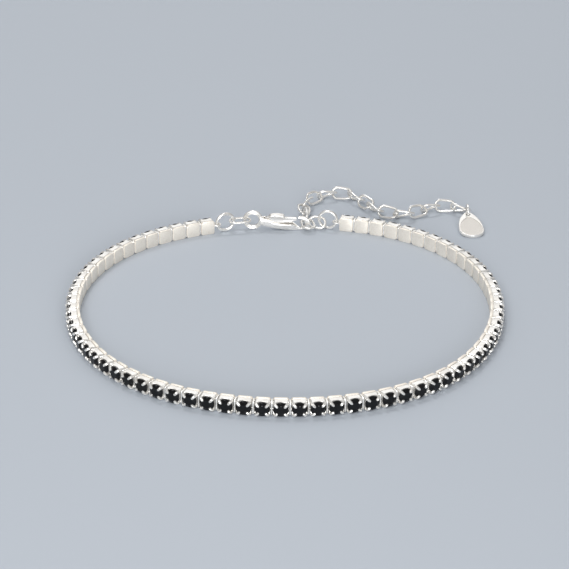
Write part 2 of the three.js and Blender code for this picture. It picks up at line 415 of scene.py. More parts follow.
def outward(piece: Piece) -> Piece:
    """Merges doubles and points every face outwards.

    Args:
        piece: The mesh object.

    Returns:
        The same object.
    """
    only(piece)
    bpy.ops.object.mode_set(mode="EDIT")
    bpy.ops.mesh.select_all(action="SELECT")
    bpy.ops.mesh.remove_doubles(threshold=TINY)
    bpy.ops.mesh.normals_make_consistent(inside=False)
    leave_edit()
    return piece


def smooth(piece: Piece, degrees: float = CREASE) -> Piece:
    """Shades a piece smooth, with creases kept.

    Args:
        piece: The mesh object.
        degrees: Bends sharper than this stay crisp.

    Returns:
        The same object.
    """
    only(piece)
    bpy.ops.object.shade_smooth_by_angle(angle=math.radians(degrees))
    return piece


def applied(piece: Piece, kind: str, **settings: object) -> Piece:
    """Adds a modifier to a piece and applies it.

    Args:
        piece: The mesh object.
        kind: The modifier's type.
        settings: The modifier's settings, by attribute name.

    Returns:
        The same object.
    """
    only(piece)
    modifier = piece.modifiers.new(kind.lower(), kind)
    for name, value in settings.items():
        setattr(modifier, name, value)
    bpy.ops.object.modifier_apply(modifier=modifier.name)
    return piece


def bevelled(piece: Piece, width: float, segments: int = 2) -> Piece:
    """Rounds a piece's square edges by a width, in a number of segments."""
    angle = math.radians(SQUARE_EDGE)
    return applied(piece, "BEVEL", width=width, segments=segments, limit_method="ANGLE", angle_limit=angle)


def cut_away(piece: Piece, tool: Piece) -> Piece:
    """Cuts a tool's shape out of a piece and discards the tool.

    Args:
        piece: The closed piece.
        tool: The closed shape that is cut away.

    Returns:
        The piece.
    """
    applied(piece, "BOOLEAN", operation="DIFFERENCE", solver="EXACT", object=tool)
    bpy.data.objects.remove(tool)
    return piece


def cast(piece: Piece, grain: float, passes: int) -> Piece:
    """Melts closed shapes into one skin of a face size, softened in passes as tumbling does."""
    applied(piece, "REMESH", mode="VOXEL", voxel_size=grain)
    return applied(piece, "SMOOTH", factor=0.5, iterations=passes)


def slice_at(piece: Piece, point: Vector, normal: Vector, discard: bool = False) -> None:
    """Cuts a plane through a piece.

    Args:
        piece: The mesh object.
        point: A point of the plane.
        normal: Its direction.
        discard: True to grind off what lies beyond the plane and close the cut.
    """
    only(piece)
    bpy.ops.object.mode_set(mode="EDIT")
    bpy.ops.mesh.select_all(action="SELECT")
    bpy.ops.mesh.bisect(plane_co=point, plane_no=normal, use_fill=discard, clear_outer=discard)
    leave_edit()


def fused(pieces: Sequence[Piece], name: str) -> Piece:
    """Joins several objects into one.

    Args:
        pieces: The objects, the first of which takes in the rest.
        name: The joined object's name.

    Returns:
        The joined object.
    """
    only(pieces[0])
    for piece in pieces[1:]:
        piece.select_set(True)
    bpy.ops.object.join()
    return fresh(name)


def copied(model: Piece, place: Matrix) -> Piece:
    """Copies an object with its own mesh.

    Args:
        model: The object that is copied.
        place: The matrix that sets the copy in place.

    Returns:
        The copy.
    """
    twin = model.copy()
    twin.data = model.data.copy()
    bpy.context.scene.collection.objects.link(twin)
    twin.data.transform(place)
    return twin


def delivered(
    piece: Piece, nodes: Iterable[str], body: Body = Body.BRACELET
) -> Piece:
    """Brings a finished piece to metres and hands it over to the frame.

    Args:
        piece: The finished object, in millimetres in the row frame.
        nodes: The CAD nodes that it stands for.
        body: The body that it moves with.

    Returns:
        The same object.
    """
    piece.data.transform(Matrix.Scale(MILLIMETRE, 4))
    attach(piece, body.value)
    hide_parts(*nodes)
    LOG.info("%s: %d faces", piece.name, len(piece.data.polygons))
    return piece


def clamped(value: float) -> float:
    """Keeps a share between 0 and 1."""
    return min(1.0, max(0.0, value))


# ---- Stock shapes ----


def block(name: str, size: Sequence[float], centre: Sequence[float], material: Material) -> Piece:
    """Adds a box of a size at a centre."""
    bpy.ops.mesh.primitive_cube_add(size=1.0, location=centre, scale=size)
    return fresh(name, material)


def rod(
    name: str, radius: float, length: float, centre: Sequence[float], axis: Axis,
    material: Optional[Material] = None, sides: int = 24,
) -> Piece:
    """Adds a round bar along an axis, with its middle at a centre. A cutting tool needs no material."""
    bpy.ops.mesh.primitive_cylinder_add(
        vertices=sides, radius=radius, depth=length, location=centre, rotation=axis.value
    )
    return fresh(name, material)


def wire_torus(name: str, radius: float, wire: float, material: Material, around: int, across: int) -> Piece:
    """Adds a ring of round wire in the XY plane, at the origin."""
    bpy.ops.mesh.primitive_torus_add(
        major_radius=radius, minor_radius=wire, major_segments=around, minor_segments=across
    )
    return fresh(name, material)


@dataclass(frozen=True)
class Station:
    """One point along a drawn line, and the share of a wire's full radius there."""

    point: Vector
    share: float = 1.0


def from_curve(
    name: str, stations: Sequence[Station], closed: bool, material: Material, **settings: object
) -> Piece:
    """Draws a curve through its stations, then makes it a closed mesh.

    Args:
        name: The object's name.
        stations: The curve's points.
        closed: True for a line that ends where it starts.
        material: The piece's finish.
        settings: The curve's own settings, by attribute name.

    Returns:
        The mesh object.
    """
    curve = bpy.data.curves.new(name, "CURVE")
    for key, value in settings.items():
        setattr(curve, key, value)
    spline = curve.splines.new("POLY")
    spline.points.add(len(stations) - 1)
    for target, station in zip(spline.points, stations):
        target.co = (*station.point, 1.0)
        target.radius = station.share
    spline.use_cyclic_u = closed
    piece = bpy.data.objects.new(name, curve)
    bpy.context.scene.collection.objects.link(piece)
    only(piece)
    bpy.ops.object.convert(target="MESH")
    return outward(fresh(name, material))


def drawn_wire(
    name: str, stations: Sequence[Station], radius: float, material: Material, sides: int = 8
) -> Piece:
    """Draws a wire of a full radius and an even number of sides through its stations."""
    settings = {"dimensions": "3D", "bevel_depth": radius, "bevel_resolution": (sides - 4) // 2}
    return from_curve(name, stations, False, material, use_fill_caps=True, **settings)


@dataclass
class Outline:
    """A closed outline in a plane, drawn stroke by stroke from its first point."""

    points: list[Vector]
    steps: int = 8

    @classmethod
    def start(cls, x: float, y: float, steps: int = 8) -> "Outline":
        """Puts the pencil down."""
        return cls([Vector((x, y))], steps)

    def line(self, x: float, y: float) -> "Outline":
        """Draws a straight stroke."""
        self.points.append(Vector((x, y)))
        return self

    def bend(self, via_x: float, via_y: float, x: float, y: float) -> "Outline":
        """Draws a bent stroke.

        Args:
            via_x: X of the one point that it bends towards.
            via_y: Y of that point.
            x: X of its end.
            y: Y of its end.

        Returns:
            The outline.
        """
        start, via, end = self.points[-1], Vector((via_x, via_y)), Vector((x, y))
        for i in range(1, self.steps + 1):
            t = i / self.steps
            self.points.append(start * (1 - t) ** 2 + via * (2 * t * (1 - t)) + end * t**2)
        return self

    def sweep(self, one: Sequence[float], two: Sequence[float], end: Sequence[float]) -> "Outline":
        """Draws a stroke that bends twice.

        Args:
            one: The first point that it bends towards.
            two: The second one.
            end: Its end.

        Returns:
            The outline.
        """
        start, a, b, last = self.points[-1], Vector(one), Vector(two), Vector(end)
        for i in range(1, self.steps + 1):
            t = i / self.steps
            s = 1 - t
            self.points.append(start * s**3 + a * (3 * t * s**2) + b * (3 * t**2 * s) + last * t**3)
        return self

    def half_round(self, x: float, radius: float) -> "Outline":
        """Draws a half circle clockwise round a point on the X axis, in steps of 10 degrees.

        Args:
            x: X of its centre.
            radius: Its radius.

        Returns:
            The outline.
        """
        for degrees in range(90, -91, -10):
            angle = math.radians(degrees)
            self.points.append(Vector((x + radius * math.cos(angle), radius * math.sin(angle))))
        return self

    def solid(self, name: str, thickness: float, edge: float, material: Material) -> Piece:
        """Makes a plate of the outline in the XY plane, its thickness centred on Z = 0.

        Args:
            name: The object's name.
            thickness: The plate's whole thickness.
            edge: The radius of its edges.
            material: Its finish.

        Returns:
            The plate.
        """
        kept = [p for i, p in enumerate(self.points) if (p - self.points[i - 1]).length > TINY]
        flat = {"dimensions": "2D", "fill_mode": "BOTH", "extrude": thickness / 2 - edge}
        rounding = {"bevel_depth": edge, "bevel_resolution": 2 if edge > 0 else 0, "offset": -edge}
        return from_curve(name, [Station(p.to_3d()) for p in kept], True, material, **flat, **rounding)


# ---- Plan of the bracelet ----


@dataclass
class LoopPlan:
    """The loop's plan, measured at the inner face of the cups, and its place in the row frame.

    It is a circle with gentle waves, each by its turns and its cosine and sine shares.
    """

    shift: Vector
    stones: int = 69
    pitch: float = 2.3
    radius: float = 28.15
    start_degrees: float = 113.1
    samples: int = 1440
    waves: tuple[tuple[int, float, float], ...] = (
        (2, 0.0198, 0.0167), (3, -0.0054, 0.0082), (4, -0.0109, -0.0018),
    )

    def point(self, angle: float) -> Vector:
        """Gives a point of the loop.

        Args:
            angle: Its direction from the loop's centre, in radians.

        Returns:
            The point.
        """
        ripple = 1.0 + sum(
            cosine * math.cos(turns * angle) + sine * math.sin(turns * angle)
            for turns, cosine, sine in self.waves
        )
        reach = self.radius * ripple
        return Vector((reach * math.cos(angle), reach * math.sin(angle), 0.0))

    def joints(self) -> list[Vector]:
        """Walks round the loop and marks the joints between cups, one pitch apart.

        Returns:
            The joints, anticlockwise from the row's left end.
        """
        start = math.radians(self.start_degrees)
        step = 2 * math.pi / self.samples
        found = [self.point(start)]
        last, travelled, i = found[0], 0.0, 1
        while len(found) <= self.stones:
            after = self.point(start + i * step)
            stride = (after - last).length
            if travelled + stride >= self.pitch:
                joint = last.lerp(after, (self.pitch - travelled) / stride)
                found.append(joint)
                travelled = (joint - after).length
            else:
                travelled += stride
            last = after
            i += 1
        return [joint + self.shift for joint in found]


def placement(point: Vector, heading: Vector) -> Matrix:
    """Gives the matrix that lays a piece in the row, with Z kept up.

    Args:
        point: Where the piece's origin goes.
        heading: Where its +X points.

    Returns:
        The matrix.
    """
    side = UP.cross(heading).normalized()
    along = side.cross(UP)
    turn = Matrix((along, side, UP)).transposed().to_4x4()
    return Matrix.Translation(point) @ turn


def pose_of(node: Piece) -> Matrix:
    """Measures how a ring, link or plate of the frame lies.

    Args:
        node: The CAD node's object, in metres.

    Returns:
        The matrix that carries local X, Y and Z to its long, wide and thin directions, in millimetres.
    """
    points = np.unique((np.array([v.co for v in node.data.vertices], float) / MILLIMETRE).round(4), axis=0)
    middle = points.mean(0)
    _, _, directions = np.linalg.svd(points - middle, full_matrices=False)
    if directions[2][2] < 0:
        directions[2] *= -1
    directions[1] = np.cross(directions[2], directions[0])
    spread = (points - middle) @ directions.T
    middle = middle + ((spread.max(0) + spread.min(0)) / 2) @ directions
    return Matrix.Translation(Vector(middle)) @ Matrix(directions.tolist()).transposed().to_4x4()


# ---- The row of stones ----


@dataclass
class BlackStone:
    """A round stone cut with a table, eight mains, eight stars and sixteen girdle facets."""

    radius: float = 1.0
    girdle: float = 0.06
    depth: float = 1.48
    table_share: float = 0.56
    table_margin: float = 1.02
    crown_degrees: float = 33.0
    star_degrees: float = 21.0
    upper_degrees: float = 41.0
    back_depth: float = 0.5
    back_share: float = 0.35
    blank_sides: int = 24
    blank_height: float = 0.6
    mains: int = 8

    def build(self, material: Material) -> Piece:
        """Cuts the stone from a turned blank.

        Args:
            material: The stone's material.

        Returns:
            The stone, facing -Y, centred on the setting.
        """
        top = self.girdle / 2
        bpy.ops.mesh.primitive_cone_add(
            vertices=self.blank_sides,
            radius1=self.radius * self.back_share,
            radius2=self.radius,
            depth=self.back_depth,
            location=(0, 0, -top - self.back_depth / 2),
        )
        piece = fresh("black_stone", material)
        select(piece, Element.POINT, lambda point: point.z > -top - NEAR)
        bpy.ops.mesh.extrude_region_move(TRANSFORM_OT_translate={"value": (0, 0, self.blank_height)})
        leave_edit()
        crown = math.tan(math.radians(self.crown_degrees)) * self.radius * (1 - self.table_share)
        edge = Vector((self.radius, 0, top))
        table = Vector((self.radius * self.table_share * self.table_margin, 0, top + crown))
        self.grind(piece, 1, 0.0, 0.0, table)
        self.grind(piece, self.mains, self.crown_degrees, 0.0, edge)
        self.grind(piece, 2 * self.mains, self.upper_degrees, 0.25, edge)
        self.grind(piece, self.mains, self.star_degrees, 0.5, table)
        outward(piece)
        facing = Matrix.Rotation(math.pi / 2, 4, "X") @ Matrix.Rotation(EIGHTH_TURN / 2, 4, "Z")
        piece.data.transform(facing)
        piece.data.transform(Matrix.Translation((0, -self.depth, 0)))
        return piece

    def grind(self, piece: Piece, count: int, lean: float, offset: float, through: Vector) -> None:
        """Grinds a ring of flat facets.

        Args:
            piece: The stone, facing +Z.
            count: The number of facets round it.
            lean: Their angle from the girdle plane, in degrees.
            offset: The first facet's turn, as a share of an eighth of a turn.
            through: A point on the facet, for no turn.
        """
        for i in range(count):
            turn = Matrix.Rotation(2 * math.pi * i / count + offset * EIGHTH_TURN, 3, "Z")
            slant = Vector((math.sin(math.radians(lean)), 0, math.cos(math.radians(lean))))
            slice_at(piece, turn @ through, turn @ slant, discard=True)


@dataclass
class StoneSetting:
    """One square four-prong setting, standing on its edge with its stone facing -Y.

    The prong's course is given by its distance from the middle to either side, its depth, and the share of
    its radius, from its foot to its rounded tip.
    """

    plate_half: float = 1.02
    plate_depth: float = 0.42
    plate_corner: float = 0.26
    plate_edge: float = 0.07
    waist_half: float = 0.87
    waist_overlap: float = 0.1
    collar_half: float = 0.985
    collar_from: float = 0.5
    collar_to: float = 1.36
    collar_corner: float = 0.2
    collar_edge: float = 0.03
    seat_radius: float = 0.88
    seat_from: float = 0.9
    seat_depth: float = 1.0
    arch_depth: float = 0.14
    arch_half: float = 0.62
    arch_length: float = 3.0
    arch_sides: int = 32
    crease: float = 35.0
    prong_radius: float = 0.2
    prong_course: tuple[tuple[float, float, float], ...] = (
        (0.79, 0.60, 0.9), (0.80, 1.05, 1.0), (0.80, 1.48, 1.0), (0.76, 1.63, 1.0), (0.68, 1.73, 1.0),
        (0.58, 1.77, 0.98), (0.50, 1.78, 0.86), (0.44, 1.78, 0.60), (0.41, 1.77, 0.22),
    )

    def square(self, name: str, half: float, near: float, far: float, material: Material) -> Piece:
        """Adds a square layer of half a side, from a near to a far depth."""
        depth = far - near
        return block(name, (2 * half, depth, 2 * half), (0, -near - depth / 2, 0), material)

    def back_plate(self, material: Material) -> Piece:
        """Stamps the smooth square back plate with round corners and soft edges."""
        piece = self.square("back_plate", self.plate_half, 0.0, self.plate_depth, material)
        return bevelled(self.round_corners(piece, self.plate_corner), self.plate_edge)

    def round_corners(self, piece: Piece, radius: float) -> Piece:
        """Rounds the four corners that run through a plate.

        Args:
            piece: The plate.
            radius: The corners' radius.

        Returns:
            The same plate.
        """
        select(piece, Element.EDGE, lambda a, b: abs(a.y - b.y) > NEAR)
        bpy.ops.mesh.bevel(offset=radius, segments=3, affect="EDGES")
        leave_edit()
        return piece

    def waist(self, material: Material) -> Piece:
        """Adds the narrow neck, which reads as a dark groove. It reaches into plate and collar."""
        near, far = self.plate_depth - self.waist_overlap, self.collar_from + self.waist_overlap
        return self.square("waist", self.waist_half, near, far, material)

    def collar(self, material: Material) -> Piece:
        """Builds the square collar under the stone, each front edge dipping in an arch between two prongs.

        Args:
            material: Its finish.

        Returns:
            The collar, drilled for the stone's seat.
        """
        piece = self.square("collar", self.collar_half, self.collar_from, self.collar_to, material)
        self.round_corners(piece, self.collar_corner)
        seat_at = (0, -self.seat_from - self.seat_depth / 2, 0)
        cut_away(piece, rod("seat", self.seat_radius, self.seat_depth, seat_at, Axis.Y))
        radius = (self.arch_half**2 + self.arch_depth**2) / (2 * self.arch_depth)
        centre = (0, -self.collar_to - radius + self.arch_depth, 0)
        for axis in (Axis.X, Axis.Z):
            cut_away(piece, rod("arch", radius, self.arch_length, centre, axis, sides=self.arch_sides))
        return bevelled(piece, self.collar_edge, 1)

    def prongs(self, material: Material) -> list[Piece]:
        """Draws the four prongs, each from its corner to its rounded tip over the stone's crown.

        Args:
            material: Their finish.

        Returns:
            The prongs.
        """
        made = []
        for side, up in ((1, 1), (1, -1), (-1, -1), (-1, 1)):
            course = [Station(Vector((side * x, -y, up * x)), share) for x, y, share in self.prong_course]
            made.append(drawn_wire("prong", course, self.prong_radius, material))
        return made

    def build(self, palette: Palette) -> Piece:
        """Joins plate, waist, collar, prongs and stone into one setting.

        Args:
            palette: The finishes.

        Returns:
            The setting, standing on Z = 0.
        """
        silver = palette.silver
        back = [self.back_plate(palette.satin), self.waist(silver)]
        whole = smooth(fused([*back, self.collar(silver), *self.prongs(silver)], "setting"), self.crease)
        piece = fused([whole, BlackStone().build(palette.stone)], "setting")
        piece.data.transform(Matrix.Translation((0, 0, self.plate_half)))
        return piece


@dataclass
class Connector:
    """The waisted bar in each joint, with the two short hinge pins that it is strung on."""

    width: float = 0.25
    height: float = 1.74
    depth_from: float = 0.1
    depth_to: float = 1.3
    waist_share: float = 0.84
    waist_slices: tuple[float, ...] = (-0.4, 0.0, 0.4)
    edge: float = 0.06
    pin_radius: float = 0.12
    pin_length: float = 0.62
    pin_height: float = 0.5
    pin_depth: float = 0.3
    pin_sides: int = 8
    centre_height: float = 1.02

    def build(self, material: Material) -> Piece:
        """Builds the bar and pins of one joint.

        Args:
            material: Their finish.

        Returns:
            The connector, standing on Z = 0.
        """
        depth = self.depth_to - self.depth_from
        centre = (0, -self.depth_from - depth / 2, 0)
        bar = block("connector", (self.width, depth, self.height), centre, material)
        for level in self.waist_slices:
            slice_at(bar, Vector((0, 0, level)), UP)
        select(bar, Element.POINT, lambda point: abs(point.z) < NEAR)
        bpy.ops.transform.resize(value=(self.waist_share, 1, 1), center_override=(0, 0, 0))
        leave_edit()
        bevelled(bar, self.edge)
        pieces = [bar]
        for level in (-self.pin_height, self.pin_height):
            at = (0, -self.pin_depth, level)
            pieces.append(rod("pin", self.pin_radius, self.pin_length, at, Axis.X, material, self.pin_sides))
        piece = smooth(fused(pieces, "connector"))
        piece.data.transform(Matrix.Translation((0, 0, self.centre_height)))
        return piece


@dataclass
class EndEye:
    """The small flat-lying eye at each end of the row, with the lug that ties it to the last plate."""

    radius: float = 0.5
    wire: float = 0.14
    reach: float = 0.34
    height: float = 1.3
    depth: float = 0.3
    lug_size: tuple[float, float, float] = (0.4, 0.3, 0.5)
    lug_shift: float = -0.52
    lug_edge: float = 0.08

    def build(self, joint: Vector, inner: Vector, stones_side: int, material: Material) -> Piece:
        """Builds one end's eye.

        Args:
            joint: The end of the row.
            inner: The next joint.
            stones_side: 1 or -1, for the side that the stones face as seen along the way out.
            material: Its finish.

        Returns:
            The eye.
        """
        away = (joint - inner).normalized()
        aside = UP.cross(away).normalized() * stones_side
        eye = wire_torus("end_eye", self.radius, self.wire, material, around=24, across=10)
        eye.data.transform(Matrix.Translation((0, 0, self.height)))
        lug = block("lug", self.lug_size, (self.lug_shift, 0, self.height), material)
        piece = smooth(fused([eye, bevelled(lug, self.lug_edge)], "end_eye"))
        piece.data.transform(placement(joint + away * self.reach + aside * self.depth, away))
        return piece


@dataclass
class StoneRow:
    """The row of sixty-nine settings with its connectors and end eyes."""

    plan: LoopPlan
    palette: Palette

    def build(self) -> Piece:
        """Strings the whole row along the loop's plan.

        Returns:
            The row, as one piece.
        """
        joints = self.plan.joints()
        silver = self.palette.silver
        setting = StoneSetting().build(self.palette)
        connector = Connector().build(silver)
        pieces = []
        for i in range(self.plan.stones):
            here, after = joints[i], joints[i + 1]
            pieces.append(copied(setting, placement(here.lerp(after, 0.5), after - here)))
            if i > 0:
                pieces.append(copied(connector, placement(here, after - joints[i - 1])))
        pieces.append(EndEye().build(joints[0], joints[1], 1, silver))
        pieces.append(EndEye().build(joints[-1], joints[-2], -1, silver))
        bpy.data.objects.remove(setting)
        bpy.data.objects.remove(connector)
        return delivered(fused(pieces, "stone_row"), ["stone_chain"])


# ---- Rings and links ----


@dataclass(frozen=True)
class WireLink:
    """A link of round wire, an oval that may be twisted along its length like a curb link.

    Its half sizes are those of the wire's centre line. The lift keeps a twisted link clear of the floor.
    """

    half_length: float
    half_width: float
    wire: float
    twist_degrees: float = 0.0
    lift: float = 0.0
    slices: tuple[float, ...] = (-0.5, 0.0, 0.5)

    def build(self, name: str, pose: Matrix, material: Material) -> Piece:
        """Bends the wire into the link and lays it where its node lies.

        Args:
            name: The link's name.
            pose: How its node lies.
            material: Its finish.

        Returns:
            The link, its two ends leaning opposite ways where it is twisted.
        """
        piece = wire_torus(name, self.half_width, self.wire, material, around=40, across=12)
        stretch = self.half_length - self.half_width
        for side in (1, -1):
            select(piece, Element.POINT, lambda point: point.x * side > TINY)
            bpy.ops.transform.translate(value=(side * stretch, 0, 0))
            leave_edit()
        for share in self.slices:
            slice_at(piece, Vector((share * stretch, 0, 0)), Vector((1, 0, 0)))
        if self.twist_degrees:
            angle = math.radians(2 * self.twist_degrees)
            applied(piece, "SIMPLE_DEFORM", deform_method="TWIST", deform_axis="X", angle=angle)
        piece.data.transform(Matrix.Translation((0, 0, self.lift)) @ pose)
        return smooth(piece, ROUND_CREASE)


@dataclass(frozen=True)
class SplitRing:
    """A ring of two turns of wire, pressed together, with its two cut ends a little apart."""

    radius: float = 1.33
    wire: float = 0.185
    step: float = 0.095
    overlap_degrees: float = 20.0
    stations: int = 96
    wire_sides: int = 10

    def build(self, name: str, pose: Matrix, material: Material) -> Piece:
        """Winds the ring and lays it where its node lies.

        Args:
            name: The ring's name.
            pose: How its node lies.
            material: Its finish.

        Returns:
            The ring.
        """
        turn = 360.0
        first, last = self.overlap_degrees, 2 * turn - self.overlap_degrees
        course = []
        for i in range(self.stations + 1):
            degrees = first + (last - first) * i / self.stations
            crossing = clamped((degrees - turn + first) / (2 * first))
            ease = crossing * crossing * (3 - 2 * crossing)
            angle = math.radians(degrees)
            place = (self.radius * math.cos(angle), self.radius * math.sin(angle), self.step * (2 * ease - 1))
            course.append(Station(Vector(place)))
        piece = drawn_wire(name, course, self.wire, material, self.wire_sides)
        piece.data.transform(pose)
        return smooth(piece, ROUND_CREASE)


@dataclass
class LinkWork:
    """All the loose rings and links of the bracelet, each laid where its CAD node lies.

    The extender's twist grows over a few links, and its hand changes from one to the next, so that
    neighbours stay clear of each other.
    """

    nodes: dict[str, Piece]
    palette: Palette
    ring_radius: float = 1.3
    ring_wire: float = 0.23
    tag_ring_radius: float = 0.95
    tag_ring_wire: float = 0.17
    extender_count: int = 16
    clasp_link: WireLink = WireLink(1.54, 0.8, 0.17)
    first_link: WireLink = WireLink(1.25, 0.85, 0.18)
    extender_link: WireLink = WireLink(1.5, 0.88, 0.195)
    twist_degrees: float = 24.0
    twist_from: int = 2
    twist_ramp: int = 3
    link_lift: float = 0.1

    def ring(self, node: str, radius: float, wire: float) -> None:
        """Builds one plain round ring.

        Args:
            node: The CAD node that it stands for.
            radius: The radius of its wire's centre line.
            wire: The wire's radius.
        """
        piece = wire_torus(f"{node}_wire", radius, wire, self.palette.silver, around=48, across=14)
        piece.data.transform(pose_of(self.nodes[node]))
        delivered(smooth(piece, ROUND_CREASE), [node])

    def link(self, node: str, maker: WireLink | SplitRing) -> None:
        """Builds one link or split ring where its node lies."""
        delivered(maker.build(f"{node}_wire", pose_of(self.nodes[node]), self.palette.silver), [node])

    def build(self) -> None:
        """Builds every ring and link."""
        self.ring("clasp_ring", self.ring_radius, self.ring_wire)
        self.ring("tag_ring", self.tag_ring_radius, self.tag_ring_wire)
        self.link("extender_ring", SplitRing())
        self.link("clasp_link", self.clasp_link)
        self.link("extender_first_link", self.first_link)
        for number in range(1, self.extender_count + 1):
            share = clamped((number - self.twist_from) / self.twist_ramp)
            hand = -1 if number % 2 else 1
            twist = hand * share * self.twist_degrees
            size = replace(self.extender_link, twist_degrees=twist, lift=share * self.link_lift)
            self.link(f"extender_link_{number:02d}", size)


# ---- The lobster clasp ----


@dataclass
class LobsterClasp:
    """The cast lobster clasp, drawn in its own XZ plane from the centre of its eye, hook towards +X.

    Its eye is two raised rings with a thin web between, each a radius, a wire and a fullness.
    """

    palette: Palette
    at: Vector
    thickness: float = 1.3
    edge: float = 0.12
    hook_thickness: float = 0.72
    taper_from: float = 5.4
    taper_to: float = 7.0
    slot_width: float = 0.68
    lever_thickness: float = 0.52
    lever_edge: float = 0.06
    pad_width: float = 1.0
    pivot: tuple[float, float, float] = (2.25, 0.0, -0.05)
    pin_radius: float = 0.18
    pin_inset: float = 0.03
    pin_edge: float = 0.05
    pin_clearance: float = 0.05
    swell_height: float = -0.4
    swell_half: float = 1.15
    swell_share: float = 0.8
    swell_least: float = 0.3
    grain: float = 0.06
    eye_shift: float = 0.12
    eye_rings: tuple[tuple[float, float, float], ...] = (
        (1.37, 0.125, 1.6), (1.19, 0.13, 0.5), (1.0, 0.115, 1.6),
    )

    def upright(self, piece: Piece) -> Piece:
        """Stands a flat-drawn plate up in the XZ plane."""
        piece.data.transform(Matrix.Rotation(math.pi / 2, 4, "X"))
        return piece

    def tapered(self, piece: Piece) -> Piece:
        """Thins a piece towards the hook's tip.

        Args:
            piece: The upright piece.

        Returns:
            The same piece.
        """
        low = self.hook_thickness / self.thickness
        for vertex in piece.data.vertices:
            share = clamped((vertex.co.x - self.taper_from) / (self.taper_to - self.taper_from))
            vertex.co.y *= 1 - (1 - low) * share * share * (3 - 2 * share)
        return piece

    def swelled(self, piece: Piece) -> Piece:
        """Rounds a flat-sided body, so that it is fullest at its middle height.

        Args:
            piece: The upright body.

        Returns:
            The same body.
        """
        for vertex in piece.data.vertices:
            lean = (vertex.co.z - self.swell_height) / self.swell_half
            vertex.co.y *= math.sqrt(max(self.swell_least, 1 - self.swell_share * lean * lean))
        return piece

    def claw(self) -> Piece:
        """Casts neck, lower jaw and hook, with the open channel that the lever swings into.

        Returns:
            The claw.
        """
        silver = self.palette.silver
        shape = Outline.start(1.1, 0.38)
        shape.line(1.75, 0.46).bend(2.35, 0.44, 2.8, 0.05).bend(3.3, -0.28, 4.2, -0.36).line(6.2, -0.46)
        shape.bend(6.75, -1.1, 7.3, -1.08).bend(7.95, -0.95, 7.9, -0.25).bend(7.75, 0.38, 6.78, 0.34)
        shape.line(6.78, 0.7).bend(8.5, 0.8, 8.7, -0.3).bend(8.6, -1.4, 7.0, -1.49).bend(3.6, -1.5, 1.1, -0.5)
        piece = self.upright(shape.solid("clasp_body_cast", self.thickness, self.edge, silver))
        self.swelled(cast(piece, self.grain, 4))
        channel = Outline.start(1.62, 0.9).line(6.95, 0.9).line(6.95, -1.16).bend(3.8, -1.2, 1.62, -0.42)
        cut_away(piece, self.upright(channel.solid("channel", self.slot_width, 0.0, silver)))
        return smooth(self.tapered(cast(piece, self.grain, 3)), ROUND_CREASE)

    def eye(self) -> list[Piece]:
        """Builds the eye.

        Returns:
            Its two raised rings and the web.
        """
        rings = []
        for radius, wire, fullness in self.eye_rings:
            ring = wire_torus("eye_ring", radius, wire, self.palette.silver, around=64, across=14)
            flattened = Matrix.Diagonal((1, 1, fullness, 1))
            ring.data.transform(Matrix.Translation((self.eye_shift, 0, 0)) @ flattened)
            rings.append(smooth(self.upright(ring), ROUND_CREASE))
        return rings

    def body(self) -> Piece:
        """Joins claw, eye and pivot pin.

        Returns:
            The clasp's body.
        """
        length = self.thickness - 2 * self.pin_inset
        pin = rod("pivot_pin", self.pin_radius, length, self.pivot, Axis.Y, self.palette.silver, 20)
        smooth(bevelled(pin, self.pin_edge))
        piece = fused([self.claw(), *self.eye(), pin], "clasp_body_cast")
        piece.data.transform(Matrix.Translation(self.at))
        return delivered(piece, ["clasp_body"])

    def lever(self) -> Piece:
        """Cuts the sprung lever, with its thumb pad across the top.

        Returns:
            The lever.
        """
        silver = self.palette.silver
        shape = Outline.start(1.8, 0.0)
        shape.bend(1.82, 0.55, 2.6, 0.7).line(4.6, 0.7).line(4.8, 0.52).line(6.64, 0.52).line(6.64, 0.06)
        shape.bend(5.0, -0.46, 3.2, -0.5).bend(1.86, -0.5, 1.8, 0.0)
        blade = self.upright(shape.solid("clasp_lever_cast", self.lever_thickness, self.lever_edge, silver))
        drill = self.pin_radius + self.pin_clearance
        self.tapered(cut_away(blade, rod("pin_hole", drill, DRILL, self.pivot, Axis.Y)))
        top = Outline.start(2.45, 0.55).line(4.8, 0.55).bend(4.85, 0.84, 4.45, 0.9)
        top.bend(3.7, 1.1, 2.9, 0.92).bend(2.48, 0.84, 2.45, 0.55)
        pad = self.upright(top.solid("pad", self.pad_width, self.edge, silver))
        piece = smooth(cast(fused([blade, pad], "clasp_lever_cast"), self.grain, 3), ROUND_CREASE)
        piece.data.transform(Matrix.Translation(self.at))
        return delivered(piece, ["clasp_lever"], body=Body.LEVER)

    def build(self) -> None:
        """Builds both halves of the clasp."""
        self.body()
        self.lever()


# ---- The teardrop tag ----


